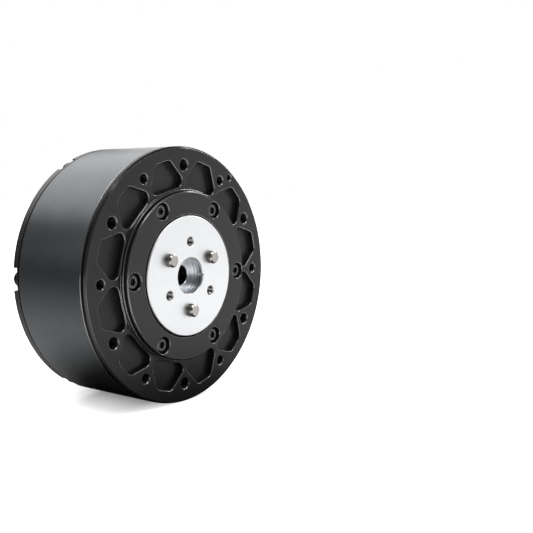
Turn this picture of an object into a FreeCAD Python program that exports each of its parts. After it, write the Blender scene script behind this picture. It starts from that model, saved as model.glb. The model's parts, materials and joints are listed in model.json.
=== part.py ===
import FreeCAD, Part
import math
import os

import Sketcher

# A round joint actuator for a robot: a brushless motor with its rotor outside the stator, a planetary
# reduction inside the stator, an output disc in the middle of the front flange, and the drive
# electronics under a cap on the rear cover. Everything turns about the Y axis. The front flange's
# mounting face is the plane Y = 0, and the output side faces -Y. Angles in the XZ plane are counted
# from +X towards +Z, as seen from the front.

SIZES = {
    # housing, from the mounting face to the rear end
    "case_radius": 40.0,
    "case_wall": 2.8,
    "case_length": 27.65,
    "edge_break": 0.3,
    "flange_thickness": 1.7,
    "flange_chamfer": 0.6,
    "cover_thickness": 5.0,
    "rear_thickness": 2.85,
    "rear_chamfer": 0.4,
    "cap_step": 10.0,
    "cap_height": 9.7,
    "cap_wall": 1.8,
    "cap_chamfer": 0.5,
    "cap_turn": 30.0,
    # clearances
    "spigot_clearance": 0.05,
    "seat_clearance": 0.02,
    "running_clearance": 0.05,
    "shank_clearance": 0.1,
    "disc_gap": 0.5,
    "disc_rear_gap": 0.4,
    "side_gap": 0.3,
    "rotor_gap": 1.0,
    "collar_gap": 0.6,
    "overshoot": 1.0,
    "air_gap": 0.5,
    # front boss
    "collar_width": 0.6,
    "foot_height": 0.9,
    "land_width": 0.4,
    "retainer_overhang": 1.0,
    "retainer_height": 2.2,
    "retainer_chamfer": 0.25,
    "spigot_depth": 0.9,
    # weight-saving recesses in the flange, each an outline of equal arcs round six centres
    "recess_count": 12,
    "recess_depth": 2.0,
    "recess_corner": 2.0,
    "recess_edge": 0.16,
    "outer_corner_across": 2.0,
    "outer_corner_edge": 6.0,
    "side_corner_across": 4.85,
    "side_corner_rise": 2.1,
    "inner_corner_across": 4.6,
    "inner_corner_rise": 1.9,
    # mounting holes in the front flange and the rear cover
    "bolt_count": 6,
    "flange_bolt_edge": 5.75,
    "large_hole_radius": 1.7,
    "small_hole_radius": 1.4,
    "hole_chamfer": 0.3,
    "flange_hole_depth": 4.6,
    "rear_bolt_edge": 4.3,
    "pin_hole_radius": 0.95,
    "pin_hole_edge": 2.3,
    "pin_hole_angle": 54.5,
    "pin_hole_depth": 3.0,
    # screws that close the case, the retainer and the cap
    "case_screw_edge": 2.6,
    "case_screw_head": 2.55,
    "case_screw_head_height": 1.9,
    "case_screw_radius": 1.4,
    "case_screw_length": 6.0,
    "case_screw_wall": 0.7,
    "notch_radius": 3.4,
    "notch_depth": 2.1,
    "retainer_screw_rise": 2.3,
    "retainer_screw_head": 2.1,
    "retainer_screw_head_height": 1.1,
    "retainer_screw_radius": 0.95,
    "retainer_screw_length": 5.0,
    "counterbore_radius": 2.6,
    "counterbore_depth": 1.9,
    "cap_screw_edge": 2.1,
    "cap_screw_angle": 22.5,
    "cap_screw_head": 1.95,
    "cap_screw_head_height": 1.2,
    "cap_screw_radius": 0.9,
    "cap_screw_grip": 2.2,
    "cap_boss_radius": 2.6,
    "head_clearance": 0.25,
    # the star recess in every screw, as shares of the radius and the height of its head
    "star_lobes": 6,
    "star_recess": 0.55,
    "star_waist": 0.36,
    "star_depth": 0.6,
    # output disc
    "disc_inset": 2.3,
    "disc_height": 2.6,
    "disc_chamfer": 0.25,
    "output_circle": 10.7,
    "output_count": 3,
    "output_tap_radius": 1.4,
    "output_tap_depth": 7.0,
    "dowel_radius": 2.0,
    "dowel_shank_radius": 1.75,
    "dowel_height": 2.0,
    "dowel_depth": 6.0,
    "dowel_chamfer": 0.45,
    "centre_bore_radius": 5.6,
    "centre_bore_depth": 4.3,
    "inner_bore_radius": 3.0,
    "inner_bore_depth": 3.0,
    "bore_notch_radius": 0.45,
    # output bearing
    "bearing_share": 0.525,
    "bearing_section": 6.0,
    "bearing_width": 7.0,
    "race_thickness": 2.0,
    "lip_relief": 0.4,
    "ball_radius": 1.75,
    "ball_count": 18,
    "ball_clearance": 0.25,
    "cage_thickness": 0.8,
    "rear_cage_thickness": 0.48,
    "shoulder_width": 1.0,
    "shoulder_inset": 1.7,
    # planetary gears, of one module
    "module": 0.6,
    "sun_teeth": 12,
    "planet_teeth": 24,
    "ring_teeth": 60,
    "pressure_angle": 20.0,
    "addendum": 0.46,
    "dedendum": 0.72,
    "backlash": 0.14,
    "gear_width": 6.0,
    "ring_rim": 2.85,
    "ring_overhang": 0.7,
    "planet_pin_radius": 1.8,
    "carrier_inset": 1.2,
    "carrier_front_thickness": 1.0,
    "carrier_rear_thickness": 1.6,
    "column_radius": 2.8,
    "column_inset": 2.0,
    "carrier_screw_radius": 0.9,
    "carrier_screw_head": 1.7,
    "carrier_screw_head_height": 1.2,
    "carrier_screw_grip": 2.2,
    # stator and gear housing
    "housing_wall": 4.2,
    "housing_flange_height": 2.0,
    "housing_overhang": 1.0,
    "stator_length": 11.0,
    "stator_yoke": 2.2,
    "slot_count": 18,
    "tooth_width": 3.0,
    "tooth_tip": 1.1,
    "tooth_tip_width": 8.8,
    "coil_width": 1.9,
    # rotor
    "magnet_thickness": 1.5,
    "magnet_count": 20,
    "magnet_overhang": 0.5,
    "rotor_wall": 1.3,
    "web_thickness": 2.0,
    "web_hole_circle": 20.0,
    "web_hole_radius": 5.0,
    "hub_radius": 9.0,
    "shaft_radius": 4.0,
    "shaft_collar_radius": 6.0,
    "shaft_collar_thickness": 0.5,
    "shaft_neck_radius": 3.0,
    "sun_seat_radius": 1.8,
    "nose_radius": 1.5,
    "bush_radius": 3.0,
    "bush_length": 2.5,
    "rear_bearing_radius": 8.0,
    "rear_bearing_width": 5.0,
    "rear_race_thickness": 1.3,
    "rear_ball_radius": 1.0,
    "rear_ball_count": 10,
    "rear_lip": 1.7,
    "rear_hub_wall": 3.0,
    "shaft_setback": 0.7,
    "encoder_magnet_radius": 3.0,
    "encoder_magnet_thickness": 2.4,
    # electronics under the cap
    "post_height": 3.7,
    "post_radius": 1.8,
    "post_inset": 3.9,
    "board_margin": 3.3,
    "board_thickness": 1.2,
    "chip_width": 5.0,
    "chip_thickness": 0.9,
    "window_width": 7.1,
    "window_height": 8.5,
    "window_drop": 9.0,
    "window_bevel": 0.35,
    "window_corner": 0.4,
    "block_margin": 1.0,
    "block_height": 2.5,
    "pad_width": 1.0,
    "pad_height": 0.7,
    "pad_pitch_across": 2.3,
    "pad_pitch": 1.4,
    "pad_rise": 0.15,
    "port_width": 27.2,
    "port_height": 7.2,
    "port_depth": 8.0,
    "port_inset": 4.0,
    "socket_wall": 0.5,
    "socket_depth": 5.0,
    "pin_setback": 1.0,
    "socket_length": 8.0,
    "power_width": 10.4,
    "bus_width": 6.6,
    "bus_offset": 9.5,
    "socket_height": 3.2,
    "serial_width": 7.0,
    "serial_height": 2.2,
    "power_pin_radius": 0.8,
    "signal_pin_radius": 0.3,
}

os.makedirs("parts", exist_ok=True)
doc = FreeCAD.newDocument("joint_actuator")
sheet = doc.addObject("Spreadsheet::Sheet", "Sizes")
for row, (alias, number) in enumerate(SIZES.items(), 1):
    sheet.set(f"A{row}", alias.replace("_", " "))
    sheet.set(f"B{row}", str(number))
    sheet.setAlias(f"B{row}", alias)
doc.recompute()


class Size:
    """A size worked out from the sheet: its number, and the formula that a feature is bound to."""

    def __init__(self, number, formula=None):
        self.number = float(number)
        self.formula = formula or repr(float(number))

    def joined(self, other, sign, number):
        return Size(number, f"({self.formula} {sign} {other.formula})")

    def __add__(self, other):
        other = as_size(other)
        return self.joined(other, "+", self.number + other.number)

    def __sub__(self, other):
        other = as_size(other)
        return self.joined(other, "-", self.number - other.number)

    def __mul__(self, other):
        other = as_size(other)
        return self.joined(other, "*", self.number * other.number)

    def __truediv__(self, other):
        other = as_size(other)
        return self.joined(other, "/", self.number / other.number)

    def __neg__(self):
        return Size(-self.number, f"(0 - {self.formula})")

    def __rsub__(self, other):
        return as_size(other) - self

    def __rtruediv__(self, other):
        return as_size(other) / self

    __radd__ = __add__
    __rmul__ = __mul__


def as_size(value):
    return value if isinstance(value, Size) else Size(value)


def cosine(angle):
    angle = as_size(angle)
    return Size(math.cos(math.radians(angle.number)), f"cos({angle.formula} * 1deg)")


def sine(angle):
    angle = as_size(angle)
    return Size(math.sin(math.radians(angle.number)), f"sin({angle.formula} * 1deg)")


class Sheet:
    """Reads a cell by its alias."""

    def __getattr__(self, alias):
        return Size(sheet.get(alias), f"Sizes.{alias}")


s = Sheet()
zero = Size(0)

# ---------------------------------------------------------------- stations along the axis, front to rear
case_front = s.flange_thickness
case_rear = case_front + s.case_length
plate_rear = case_rear + s.rear_thickness
cap_rear = plate_rear + s.cap_height

bearing_front = s.spigot_depth
bearing_rear = bearing_front + s.bearing_width
shoulder_rear = bearing_rear + s.shoulder_width
disc_rear = bearing_front - s.disc_rear_gap
planet_front = shoulder_rear + s.carrier_front_thickness + s.side_gap
planet_rear = planet_front + s.gear_width
carrier_plate_front = planet_rear + s.side_gap
carrier_rear = carrier_plate_front + s.carrier_rear_thickness
ring_rear = planet_rear + s.ring_overhang
housing_rear = ring_rear + s.housing_overhang

stator_front = s.cover_thickness + s.housing_flange_height
stator_rear = stator_front + s.stator_length
end_turn = s.housing_flange_height - s.side_gap
coil_front = stator_front - end_turn
coil_rear = stator_rear + end_turn
magnet_rear = stator_rear + s.magnet_overhang
cup_front = s.cover_thickness + s.rotor_gap
web_front = coil_rear + s.rotor_gap
web_rear = web_front + s.web_thickness
hub_rear = web_rear + s.rotor_gap
collar_front = carrier_rear + s.collar_gap
hub_front = collar_front + s.shaft_collar_thickness
rear_seat = plate_rear - s.rear_lip
rear_bearing_front = rear_seat - s.rear_bearing_width
shaft_rear = plate_rear - s.shaft_setback

board_front = plate_rear + s.post_height
board_rear = board_front + s.board_thickness
block_rear = board_rear + s.block_height

# ---------------------------------------------------------------- radii that several pieces share
case_inside = s.case_radius - s.case_wall
case_screw_circle = s.case_radius - s.case_screw_edge
case_ring_inside = case_screw_circle - s.case_screw_radius - s.case_screw_wall
cover_spigot = case_inside - s.spigot_clearance
flange_bolt_circle = s.case_radius - s.flange_bolt_edge
rear_bolt_circle = s.case_radius - s.rear_bolt_edge
pin_hole_circle = s.case_radius - s.pin_hole_edge
cap_radius = s.case_radius - s.cap_step
cap_inside = cap_radius - s.cap_wall
cap_screw_circle = cap_radius - s.cap_screw_edge
board_radius = cap_inside - s.board_margin
post_circle = board_radius - s.post_inset
port_face = cap_radius - s.port_inset

bearing_radius = s.case_radius * s.bearing_share
bearing_bore_radius = bearing_radius - s.bearing_section
bearing_pitch = (bearing_radius + bearing_bore_radius) / 2
bearing_lip = bearing_bore_radius + s.race_thickness - s.lip_relief
disc_radius = bearing_radius - s.disc_inset
retainer_bore = disc_radius + s.disc_gap
retainer_screw_circle = bearing_radius + s.retainer_screw_rise
housing_radius = bearing_radius + s.housing_wall
cover_bore = housing_radius + s.spigot_clearance
retainer_radius = housing_radius + s.retainer_overhang
foot_radius = retainer_radius + s.collar_width
land_radius = foot_radius + s.land_width
outer_corner_out = s.case_radius - s.outer_corner_edge
side_corner_out = land_radius + s.side_corner_rise
inner_corner_out = land_radius + s.inner_corner_rise

sun_pitch = s.module * s.sun_teeth / 2
planet_pitch = s.module * s.planet_teeth / 2
ring_pitch = s.module * s.ring_teeth / 2
planet_circle = sun_pitch + planet_pitch
ring_outside = ring_pitch + s.ring_rim + s.dedendum
carrier_radius = ring_pitch - s.carrier_inset
column_circle = bearing_bore_radius - s.column_inset

rotor_outside = case_inside - s.rotor_gap
magnet_outside = rotor_outside - s.rotor_wall
magnet_inside = magnet_outside - s.magnet_thickness
stator_radius = magnet_inside - s.air_gap
rear_pitch = (s.rear_bearing_radius + s.shaft_radius) / 2
dowel_angles = [30 + 120 * k for k in range(3)]
tap_angles = [90 + 120 * k for k in range(3)]


# ---------------------------------------------------------------- ways of making things
def body(name):
    piece = doc.addObject("PartDesign::Body", name)
    piece.Label = name
    return piece


def origin_part(piece, role):
    return [item for item in piece.Origin.OriginFeatures if item.Role == role][0]


def bind(thing, path, size):
    thing.setExpression(path, size.formula)


def sketch_on(piece, name, role, x=zero, y=zero, z=zero):
    """A sketch on one of the body's own planes, moved by x and y in the plane and by z along its normal."""
    drawing = piece.newObject("Sketcher::SketchObject", name)
    drawing.AttachmentSupport = [(origin_part(piece, role), "")]
    drawing.MapMode = "FlatFace"
    moved = FreeCAD.Vector(x.number, y.number, z.number)
    drawing.AttachmentOffset = FreeCAD.Placement(moved, FreeCAD.Rotation())
    for axis, size in (("x", x), ("y", y), ("z", z)):
        if size is not zero:
            bind(drawing, f"AttachmentOffset.Base.{axis}", size)
    return drawing


def face_sketch(piece, name, station):
    """A sketch across the axis, seen from the front: its x is X, its y is Z and its normal is -Y."""
    return sketch_on(piece, name, "XZ_Plane", z=-station)


def fix_point(drawing, geometry, point, x, y):
    for kind, size in (("DistanceX", x), ("DistanceY", y)):
        index = drawing.addConstraint(Sketcher.Constraint(kind, -1, 1, geometry, point, size.number))
        label = f"{kind}{index}"
        drawing.renameConstraint(index, label)
        bind(drawing, f".Constraints.{label}", size)


def fix_radius(drawing, geometry, radius):
    index = drawing.addConstraint(Sketcher.Constraint("Radius", geometry, radius.number))
    label = f"Radius{index}"
    drawing.renameConstraint(index, label)
    bind(drawing, f".Constraints.{label}", radius)


def polygon(drawing, points):
    """A closed outline of straight sides through points, each a pair of sizes."""
    points = [(as_size(x), as_size(y)) for x, y in points]
    spots = [FreeCAD.Vector(x.number, y.number, 0) for x, y in points]
    ends = spots[1:] + spots[:1]
    lines = [drawing.addGeometry(Part.LineSegment(a, b)) for a, b in zip(spots, ends)]
    for line, after in zip(lines, lines[1:] + lines[:1]):
        drawing.addConstraint(Sketcher.Constraint("Coincident", line, 2, after, 1))
    for line, (x, y) in zip(lines, points):
        fix_point(drawing, line, 1, x, y)


def circle(drawing, radius, x=zero, y=zero):
    centre = FreeCAD.Vector(x.number, y.number, 0)
    ring = drawing.addGeometry(Part.Circle(centre, FreeCAD.Vector(0, 0, 1), radius.number))
    fix_point(drawing, ring, 3, x, y)
    fix_radius(drawing, ring, radius)


def rounded_outline(drawing, centres, radius):
    """A convex outline: equal arcs round the centres, in anticlockwise order, with straight sides between."""
    spots = [FreeCAD.Vector(x.number, y.number, 0) for x, y in centres]
    count = len(spots)
    headings = []
    for here, there in zip(spots, spots[1:] + spots[:1]):
        headings.append(math.atan2(there.y - here.y, there.x - here.x) - math.pi / 2)
    arcs = []
    lines = []
    for k in range(count):
        start = headings[k - 1]
        end = headings[k]
        if end < start:
            end += 2 * math.pi
        ring = Part.Circle(spots[k], FreeCAD.Vector(0, 0, 1), radius.number)
        arcs.append(drawing.addGeometry(Part.ArcOfCircle(ring, start, end)))
        out = FreeCAD.Vector(math.cos(headings[k]), math.sin(headings[k]), 0) * radius.number
        lines.append(drawing.addGeometry(Part.LineSegment(spots[k] + out, spots[(k + 1) % count] + out)))
    for k in range(count):
        fix_point(drawing, arcs[k], 3, *centres[k])
        fix_radius(drawing, arcs[k], radius)
    for k in range(count):
        drawing.addConstraint(Sketcher.Constraint("Tangent", arcs[k], 2, lines[k], 1))
        drawing.addConstraint(Sketcher.Constraint("Tangent", lines[k], 2, arcs[(k + 1) % count], 1))


def turned(piece, name, points, remove=False, x=zero, z=zero):
    """Turns an outline of (radius, station) points about Y, or about a line beside it at x and z."""
    drawing = sketch_on(piece, name + "_outline", "XY_Plane", x=x, z=z)
    polygon(drawing, points)
    kind = "PartDesign::Groove" if remove else "PartDesign::Revolution"
    feature = piece.newObject(kind, name)
    feature.Profile = drawing
    feature.ReferenceAxis = (drawing, ["V_Axis"])
    feature.Angle = 360
    return feature


def ring_cut(piece, name, radius, at_radius, station):
    """Cuts a round groove about Y, such as a ball's track."""
    drawing = sketch_on(piece, name + "_outline", "XY_Plane")
    circle(drawing, radius, at_radius, station)
    feature = piece.newObject("PartDesign::Groove", name)
    feature.Profile = drawing
    feature.ReferenceAxis = (drawing, ["V_Axis"])
    feature.Angle = 360
    return feature


def pad(piece, name, drawing, length, rearward=True):
    feature = piece.newObject("PartDesign::Pad", name)
    feature.Profile = drawing
    feature.Length = length.number
    bind(feature, "Length", length)
    feature.Reversed = rearward
    return feature


def pocket(piece, name, drawing, length, forward=False, taper=0):
    """Cuts an outline into the body, rearward from its sketch, or forward; taper narrows it as it goes in."""
    feature = piece.newObject("PartDesign::Pocket", name)
    feature.Profile = drawing
    feature.Length = length.number
    bind(feature, "Length", length)
    feature.Reversed = forward
    feature.TaperAngle = taper
    return feature


def around(piece, name, features, count):
    """Repeats features evenly round the Y axis."""
    pattern = piece.newObject("PartDesign::PolarPattern", name)
    pattern.Originals = features
    pattern.Axis = (origin_part(piece, "Y_Axis"), [""])
    pattern.Angle = 360
    pattern.Occurrences = round(count.number)
    bind(pattern, "Occurrences", count)
    piece.Tip = pattern
    return pattern


def at_angle(circle_radius, angle):
    return {"x": circle_radius * cosine(angle), "z": circle_radius * sine(angle)}


def drilled(piece, name, place, points, count=None):
    """Turns holes, with their chamfers or counterbores, out of the body, parallel to Y."""
    cut = turned(piece, name, points, remove=True, **place)
    if count is not None:
        return around(piece, name + "s", [cut], count)
    return cut


def chamfered_hole(radius, mouth, depth, chamfer, inward=1):
    """Half a blind hole with a chamfered mouth; inward is 1 where it runs to +Y."""
    outside = mouth - chamfer * inward
    floor = mouth + depth * inward
    return [
        (0, outside),
        (radius + chamfer * 2, outside),
        (radius, mouth + chamfer * inward),
        (radius, floor),
        (0, floor),
    ]


def plain_hole(radius, mouth, depth, inward=1):
    """Half a hole with a sharp mouth, drawn from a little outside it."""
    outside = mouth - s.edge_break * inward
    floor = mouth + depth * inward
    return [(0, outside), (radius, outside), (radius, floor), (0, floor)]


def screw(name, head_radius, head_height, shank_radius, length, top, place, inward=1):
    """A screw with a star recess; top is its head's face, and inward is 1 where it points to +Y."""
    piece = body(name)
    seat = top + head_height * inward
    tip = seat + length * inward
    chamfer = s.edge_break
    edge = s.recess_edge
    turned(
        piece,
        "blank",
        [
            (0, top),
            (head_radius - edge, top),
            (head_radius, top + edge * inward),
            (head_radius, seat),
            (shank_radius, seat),
            (shank_radius, tip - chamfer * inward),
            (shank_radius - chamfer, tip),
            (0, tip),
        ],
        **place,
    )
    drawing = face_sketch(piece, "star", top)
    points = []
    for k in range(round(s.star_lobes.number) * 2):
        reach = head_radius * (s.star_recess if k % 2 == 0 else s.star_waist)
        angle = 180 / s.star_lobes * k
        points.append((place["x"] + reach * cosine(angle), place["z"] + reach * sine(angle)))
    polygon(drawing, points)
    pocket(piece, "recess", drawing, head_height * s.star_depth, forward=inward < 0)
    return piece


def code_piece(name, shape):
    """A piece whose outline is a formula, so that its shape is set in code."""
    piece = doc.addObject("Part::Feature", name)
    piece.Label = name
    piece.Shape = shape
    return piece


pieces = {}


def keep(piece):
    pieces[piece.Label] = piece
    return piece


# ---------------------------------------------------------------- front flange, retainer and output side
def front_cover():
    piece = body("front_cover")
    collar_inside = retainer_radius + s.shank_clearance
    edge = s.recess_edge
    turned(
        piece,
        "plate",
        [
            (cover_bore, zero),
            (collar_inside, zero),
            (collar_inside, -s.foot_height),
            (foot_radius - edge, -s.foot_height),
            (foot_radius, edge - s.foot_height),
            (foot_radius, zero),
            (s.case_radius - s.flange_chamfer, zero),
            (s.case_radius, s.flange_chamfer),
            (s.case_radius, s.flange_thickness),
            (cover_spigot, s.flange_thickness),
            (cover_spigot, s.cover_thickness - s.edge_break),
            (cover_spigot - s.edge_break, s.cover_thickness),
            (cover_bore, s.cover_thickness),
        ],
    )
    turn = 180 / s.recess_count
    centres = []
    for across, out in (
        (-s.outer_corner_across, outer_corner_out),
        (-s.side_corner_across, side_corner_out),
        (-s.inner_corner_across, inner_corner_out),
        (s.inner_corner_across, inner_corner_out),
        (s.side_corner_across, side_corner_out),
        (s.outer_corner_across, outer_corner_out),
    ):
        centres.append((out * cosine(turn) - across * sine(turn), out * sine(turn) + across * cosine(turn)))
    centres.reverse()
    drawing = face_sketch(piece, "recess_outline", zero)
    rounded_outline(drawing, centres, s.recess_corner)
    recess = pocket(piece, "recess", drawing, s.recess_depth)
    drawing = face_sketch(piece, "recess_edge_outline", zero)
    rounded_outline(drawing, centres, s.recess_corner + s.recess_edge)
    edge = pocket(piece, "recess_edge_break", drawing, s.recess_edge, taper=-45)
    around(piece, "recesses", [recess, edge], s.recess_count)
    turned(
        piece,
        "land",
        [
            (cover_bore, zero),
            (land_radius - s.recess_edge, zero),
            (land_radius, s.recess_edge),
            (land_radius, s.cover_thickness),
            (cover_bore, s.cover_thickness),
        ],
    )
    holes = (("large_hole", 30, s.large_hole_radius), ("small_hole", 0, s.small_hole_radius))
    for name, angle, radius in holes:
        outline = chamfered_hole(radius, zero, s.flange_hole_depth, s.hole_chamfer)
        drilled(piece, name, at_angle(flange_bolt_circle, angle), outline, s.bolt_count)
    outline = chamfered_hole(s.pin_hole_radius, zero, s.pin_hole_depth, s.hole_chamfer)
    drilled(piece, "pin_hole", at_angle(pin_hole_circle, s.pin_hole_angle), outline)
    keep(piece)


def bearing_retainer():
    piece = body("bearing_retainer")
    spigot = cover_bore - s.shank_clearance
    turned(
        piece,
        "ring",
        [
            (retainer_bore, -s.retainer_height),
            (retainer_radius - s.retainer_chamfer, -s.retainer_height),
            (retainer_radius, s.retainer_chamfer - s.retainer_height),
            (retainer_radius, zero),
            (spigot, zero),
            (spigot, s.spigot_depth),
            (retainer_bore, s.spigot_depth),
        ],
    )
    shank = s.retainer_screw_radius + s.shank_clearance
    mouth = -s.retainer_height
    seat = s.counterbore_depth - s.retainer_height
    edge = s.recess_edge
    drilled(
        piece,
        "screw_hole",
        at_angle(retainer_screw_circle, 0),
        [
            (0, mouth - edge),
            (s.counterbore_radius + edge * 2, mouth - edge),
            (s.counterbore_radius, mouth + edge),
            (s.counterbore_radius, seat),
            (shank, seat),
            (shank, s.spigot_depth + edge),
            (0, s.spigot_depth + edge),
        ],
        s.bolt_count,
    )
    keep(piece)


def retainer_screws():
    top = s.counterbore_depth - s.retainer_height - s.retainer_screw_head_height
    for k in range(round(s.bolt_count.number)):
        place = at_angle(retainer_screw_circle, 360 / s.bolt_count * k)
        name = f"retainer_screw_{k + 1}"
        head = (s.retainer_screw_head, s.retainer_screw_head_height)
        keep(screw(name, *head, s.retainer_screw_radius, s.retainer_screw_length, top, place))


def output_flange():
    piece = body("output_flange")
    front = -s.disc_height
    bore_floor = front + s.centre_bore_depth
    inner_floor = bore_floor + s.inner_bore_depth
    hub = bearing_bore_radius - s.seat_clearance
    bush_seat = s.bush_radius + s.seat_clearance
    bush_front = shoulder_rear - s.bush_length
    turned(
        piece,
        "disc",
        [
            (s.centre_bore_radius + s.edge_break, front),
            (disc_radius - s.disc_chamfer, front),
            (disc_radius, front + s.disc_chamfer),
            (disc_radius, disc_rear),
            (bearing_lip, disc_rear),
            (bearing_lip, bearing_front),
            (hub, bearing_front),
            (hub, shoulder_rear),
            (bush_seat, shoulder_rear),
            (bush_seat, bush_front),
            (0, bush_front),
            (0, inner_floor),
            (s.inner_bore_radius, inner_floor),
            (s.inner_bore_radius, bore_floor + s.edge_break),
            (s.inner_bore_radius + s.edge_break, bore_floor),
            (s.centre_bore_radius, bore_floor),
            (s.centre_bore_radius, front + s.edge_break),
        ],
    )
    outline = chamfered_hole(s.output_tap_radius, front, s.output_tap_depth, s.disc_chamfer)
    drilled(piece, "tapped_hole", at_angle(s.output_circle, tap_angles[0]), outline, s.output_count)
    seat = s.dowel_shank_radius + s.seat_clearance
    mouth = s.dowel_radius - s.dowel_shank_radius
    outline = chamfered_hole(seat, front, s.dowel_depth, mouth)
    drilled(piece, "dowel_hole", at_angle(s.output_circle, dowel_angles[0]), outline, s.output_count)
    grip = s.carrier_screw_radius + s.seat_clearance
    depth = s.carrier_screw_grip + s.side_gap
    outline = chamfered_hole(grip, shoulder_rear, depth, s.edge_break / 2, inward=-1)
    drilled(piece, "carrier_screw_hole", at_angle(column_circle, dowel_angles[0]), outline, s.output_count)
    drawing = face_sketch(piece, "bore_notch_outline", front)
    circle(drawing, s.bore_notch_radius, s.centre_bore_radius, zero)
    pocket(piece, "bore_notch", drawing, s.centre_bore_depth / 2)
    keep(piece)


def dowel_pins():
    """Locating pins, each with a shoulder level with the disc's face and a thinner shank inside it."""
    face = -s.disc_height
    front = face - s.dowel_height
    floor = face + s.dowel_depth
    shank = s.dowel_shank_radius
    for k, angle in enumerate(dowel_angles, 1):
        piece = body(f"dowel_pin_{k}")
        outline = [
            (0, front),
            (s.dowel_radius - s.dowel_chamfer, front),
            (s.dowel_radius, front + s.dowel_chamfer),
            (s.dowel_radius, face),
            (shank, face),
            (shank, floor - s.dowel_chamfer / 2),
            (shank - s.dowel_chamfer / 2, floor),
            (0, floor),
        ]
        turned(piece, "pin", outline, **at_angle(s.output_circle, angle))
        keep(piece)


# ---------------------------------------------------------------- bearings
def race(name, inner, outer, front, rear, ball, pitch):
    piece = body(name)
    edge = s.edge_break
    turned(
        piece,
        "ring",
        [
            (inner + edge, front),
            (outer - edge, front),
            (outer, front + edge),
            (outer, rear - edge),
            (outer - edge, rear),
            (inner + edge, rear),
            (inner, rear - edge),
            (inner, front + edge),
        ],
    )
    ring_cut(piece, "track", ball, pitch, (front + rear) / 2)
    keep(piece)


def balls(name, pitch, ball, count, station, web):
    """A ring of balls joined by a thin cage, which go round together."""
    piece = body(name)
    half = web / 2
    outline = [
        (pitch - half, station - half),
        (pitch + half, station - half),
        (pitch + half, station + half),
        (pitch - half, station + half),
    ]
    turned(piece, "cage", outline)
    sphere = piece.newObject("PartDesign::AdditiveSphere", "ball")
    sphere.AttachmentSupport = [(origin_part(piece, "XY_Plane"), "")]
    sphere.MapMode = "FlatFace"
    bind(sphere, "Radius", ball)
    bind(sphere, "AttachmentOffset.Base.x", pitch)
    bind(sphere, "AttachmentOffset.Base.y", station)
    around(piece, "balls", [sphere], count)
    keep(piece)


def bearings():
    track = s.ball_radius + s.ball_clearance
    outer_race = bearing_radius - s.race_thickness
    inner_race = bearing_bore_radius + s.race_thickness
    span = (bearing_front, bearing_rear)
    race("output_bearing_outer", outer_race, bearing_radius, *span, track, bearing_pitch)
    race("output_bearing_inner", bearing_bore_radius, inner_race, *span, track, bearing_pitch)
    middle = (bearing_front + bearing_rear) / 2
    balls("output_balls", bearing_pitch, s.ball_radius, s.ball_count, middle, s.cage_thickness)
    track = s.rear_ball_radius + s.ball_clearance
    outer_race = s.rear_bearing_radius - s.rear_race_thickness
    inner_race = s.shaft_radius + s.rear_race_thickness
    span = (rear_bearing_front, rear_seat)
    race("rear_bearing_outer", outer_race, s.rear_bearing_radius, *span, track, rear_pitch)
    race("rear_bearing_inner", s.shaft_radius, inner_race, *span, track, rear_pitch)
    middle = (rear_bearing_front + rear_seat) / 2
    balls("rear_balls", rear_pitch, s.rear_ball_radius, s.rear_ball_count, middle, s.rear_cage_thickness)


# ---------------------------------------------------------------- planetary gears
def involute(angle):
    return math.tan(angle) - angle


def tooth_angle(radius, pitch, thickness):
    """Half the angle that a tooth, this thick along its pitch circle, takes up at a radius."""
    pressure = math.radians(s.pressure_angle.number)
    base = pitch * math.cos(pressure)
    slope = math.acos(min(1.0, base / radius))
    return thickness / (2 * pitch) + involute(pressure) - involute(slope)


def toothed_wire(teeth, pitch, inside, outside, thickness, turn):
    """The outline of a toothed wheel: involute flanks from one radius to the other, across the Y axis."""
    points = []
    for k in range(teeth):
        middle = turn + 2 * math.pi * k / teeth
        flank = [(r, tooth_angle(r, pitch, thickness)) for r in (inside, pitch, outside)]
        for radius, half in flank:
            points.append((radius, middle - half))
        for radius, half in reversed(flank):
            points.append((radius, middle + half))
    spots = [FreeCAD.Vector(r * math.cos(a), 0, r * math.sin(a)) for r, a in points]
    return Part.makePolygon(spots + spots[:1])


def wheel_wire(teeth, pitch, thickness, turn):
    """The outline of a wheel with its teeth on the outside."""
    inside = pitch - s.dedendum.number
    outside = pitch + s.addendum.number
    return toothed_wire(teeth, pitch, inside, outside, thickness, turn)


def extruded(wires, front, rear):
    face = Part.Face(wires) if len(wires) == 1 else Part.makeFace(wires, "Part::FaceMakerBullseye")
    solid = face.extrude(FreeCAD.Vector(0, rear - front, 0))
    solid.translate(FreeCAD.Vector(0, front, 0))
    return solid


def round_wire(radius):
    ring = Part.Circle(FreeCAD.Vector(0, 0, 0), FreeCAD.Vector(0, 1, 0), radius)
    return Part.Wire(ring.toShape())


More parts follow.
